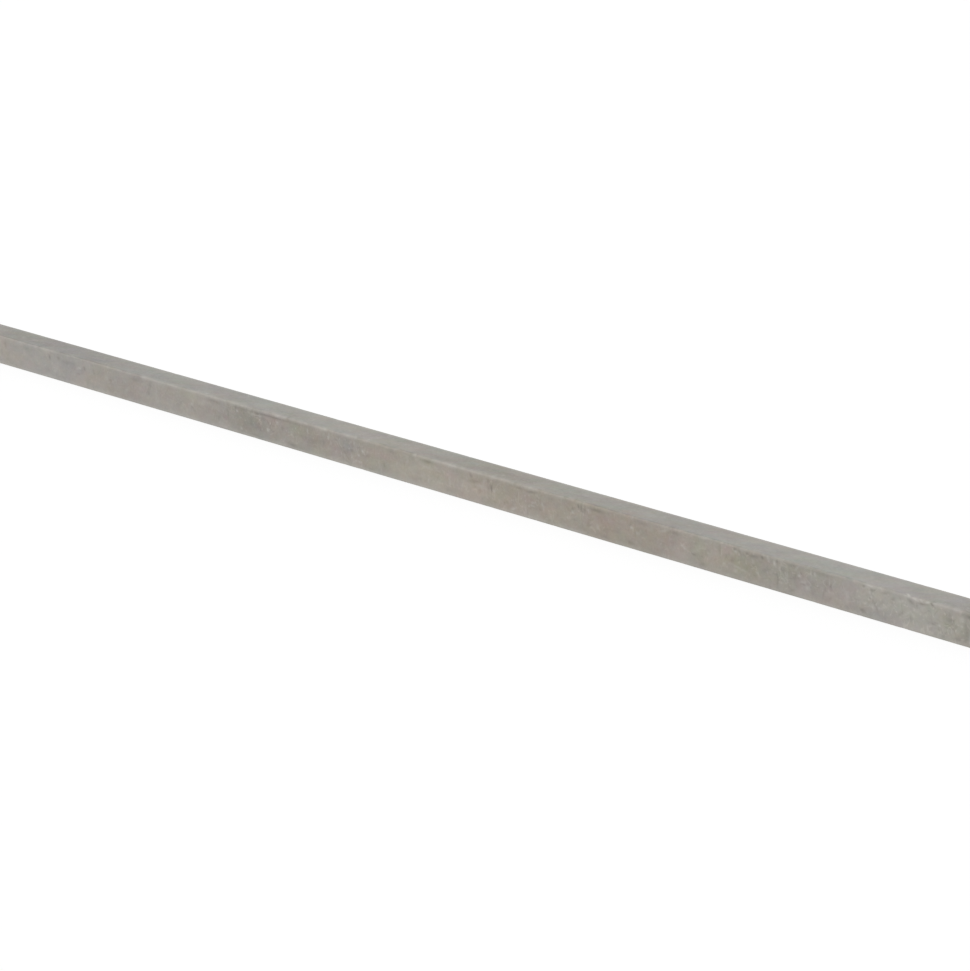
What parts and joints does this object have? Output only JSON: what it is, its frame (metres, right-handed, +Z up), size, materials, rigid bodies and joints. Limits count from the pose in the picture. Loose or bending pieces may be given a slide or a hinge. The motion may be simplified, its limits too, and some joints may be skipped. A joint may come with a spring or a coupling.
{
  "type": "square key stock bar",
  "caption": "Straight square bar of cold-drawn stainless steel that machine keys are cut from, with small rounded long corners and chamfered sawn ends.",
  "frame": {"origin": "middle of the underside, halfway along the bar and halfway between its flanks", "axes": "+X along the bar, +Y from the front flank to the back flank, +Z up from the underside to the top face"},
  "size_m": [0.3048, 0.0064, 0.0063],
  "materials": {
    "drawn_stainless": "dull cold-drawn grey, faintly mottled, with bright corners and small nicks"
  },
  "bodies": {
    "root": {"key_bar": "drawn_stainless"}
  },
  "joints": []
}
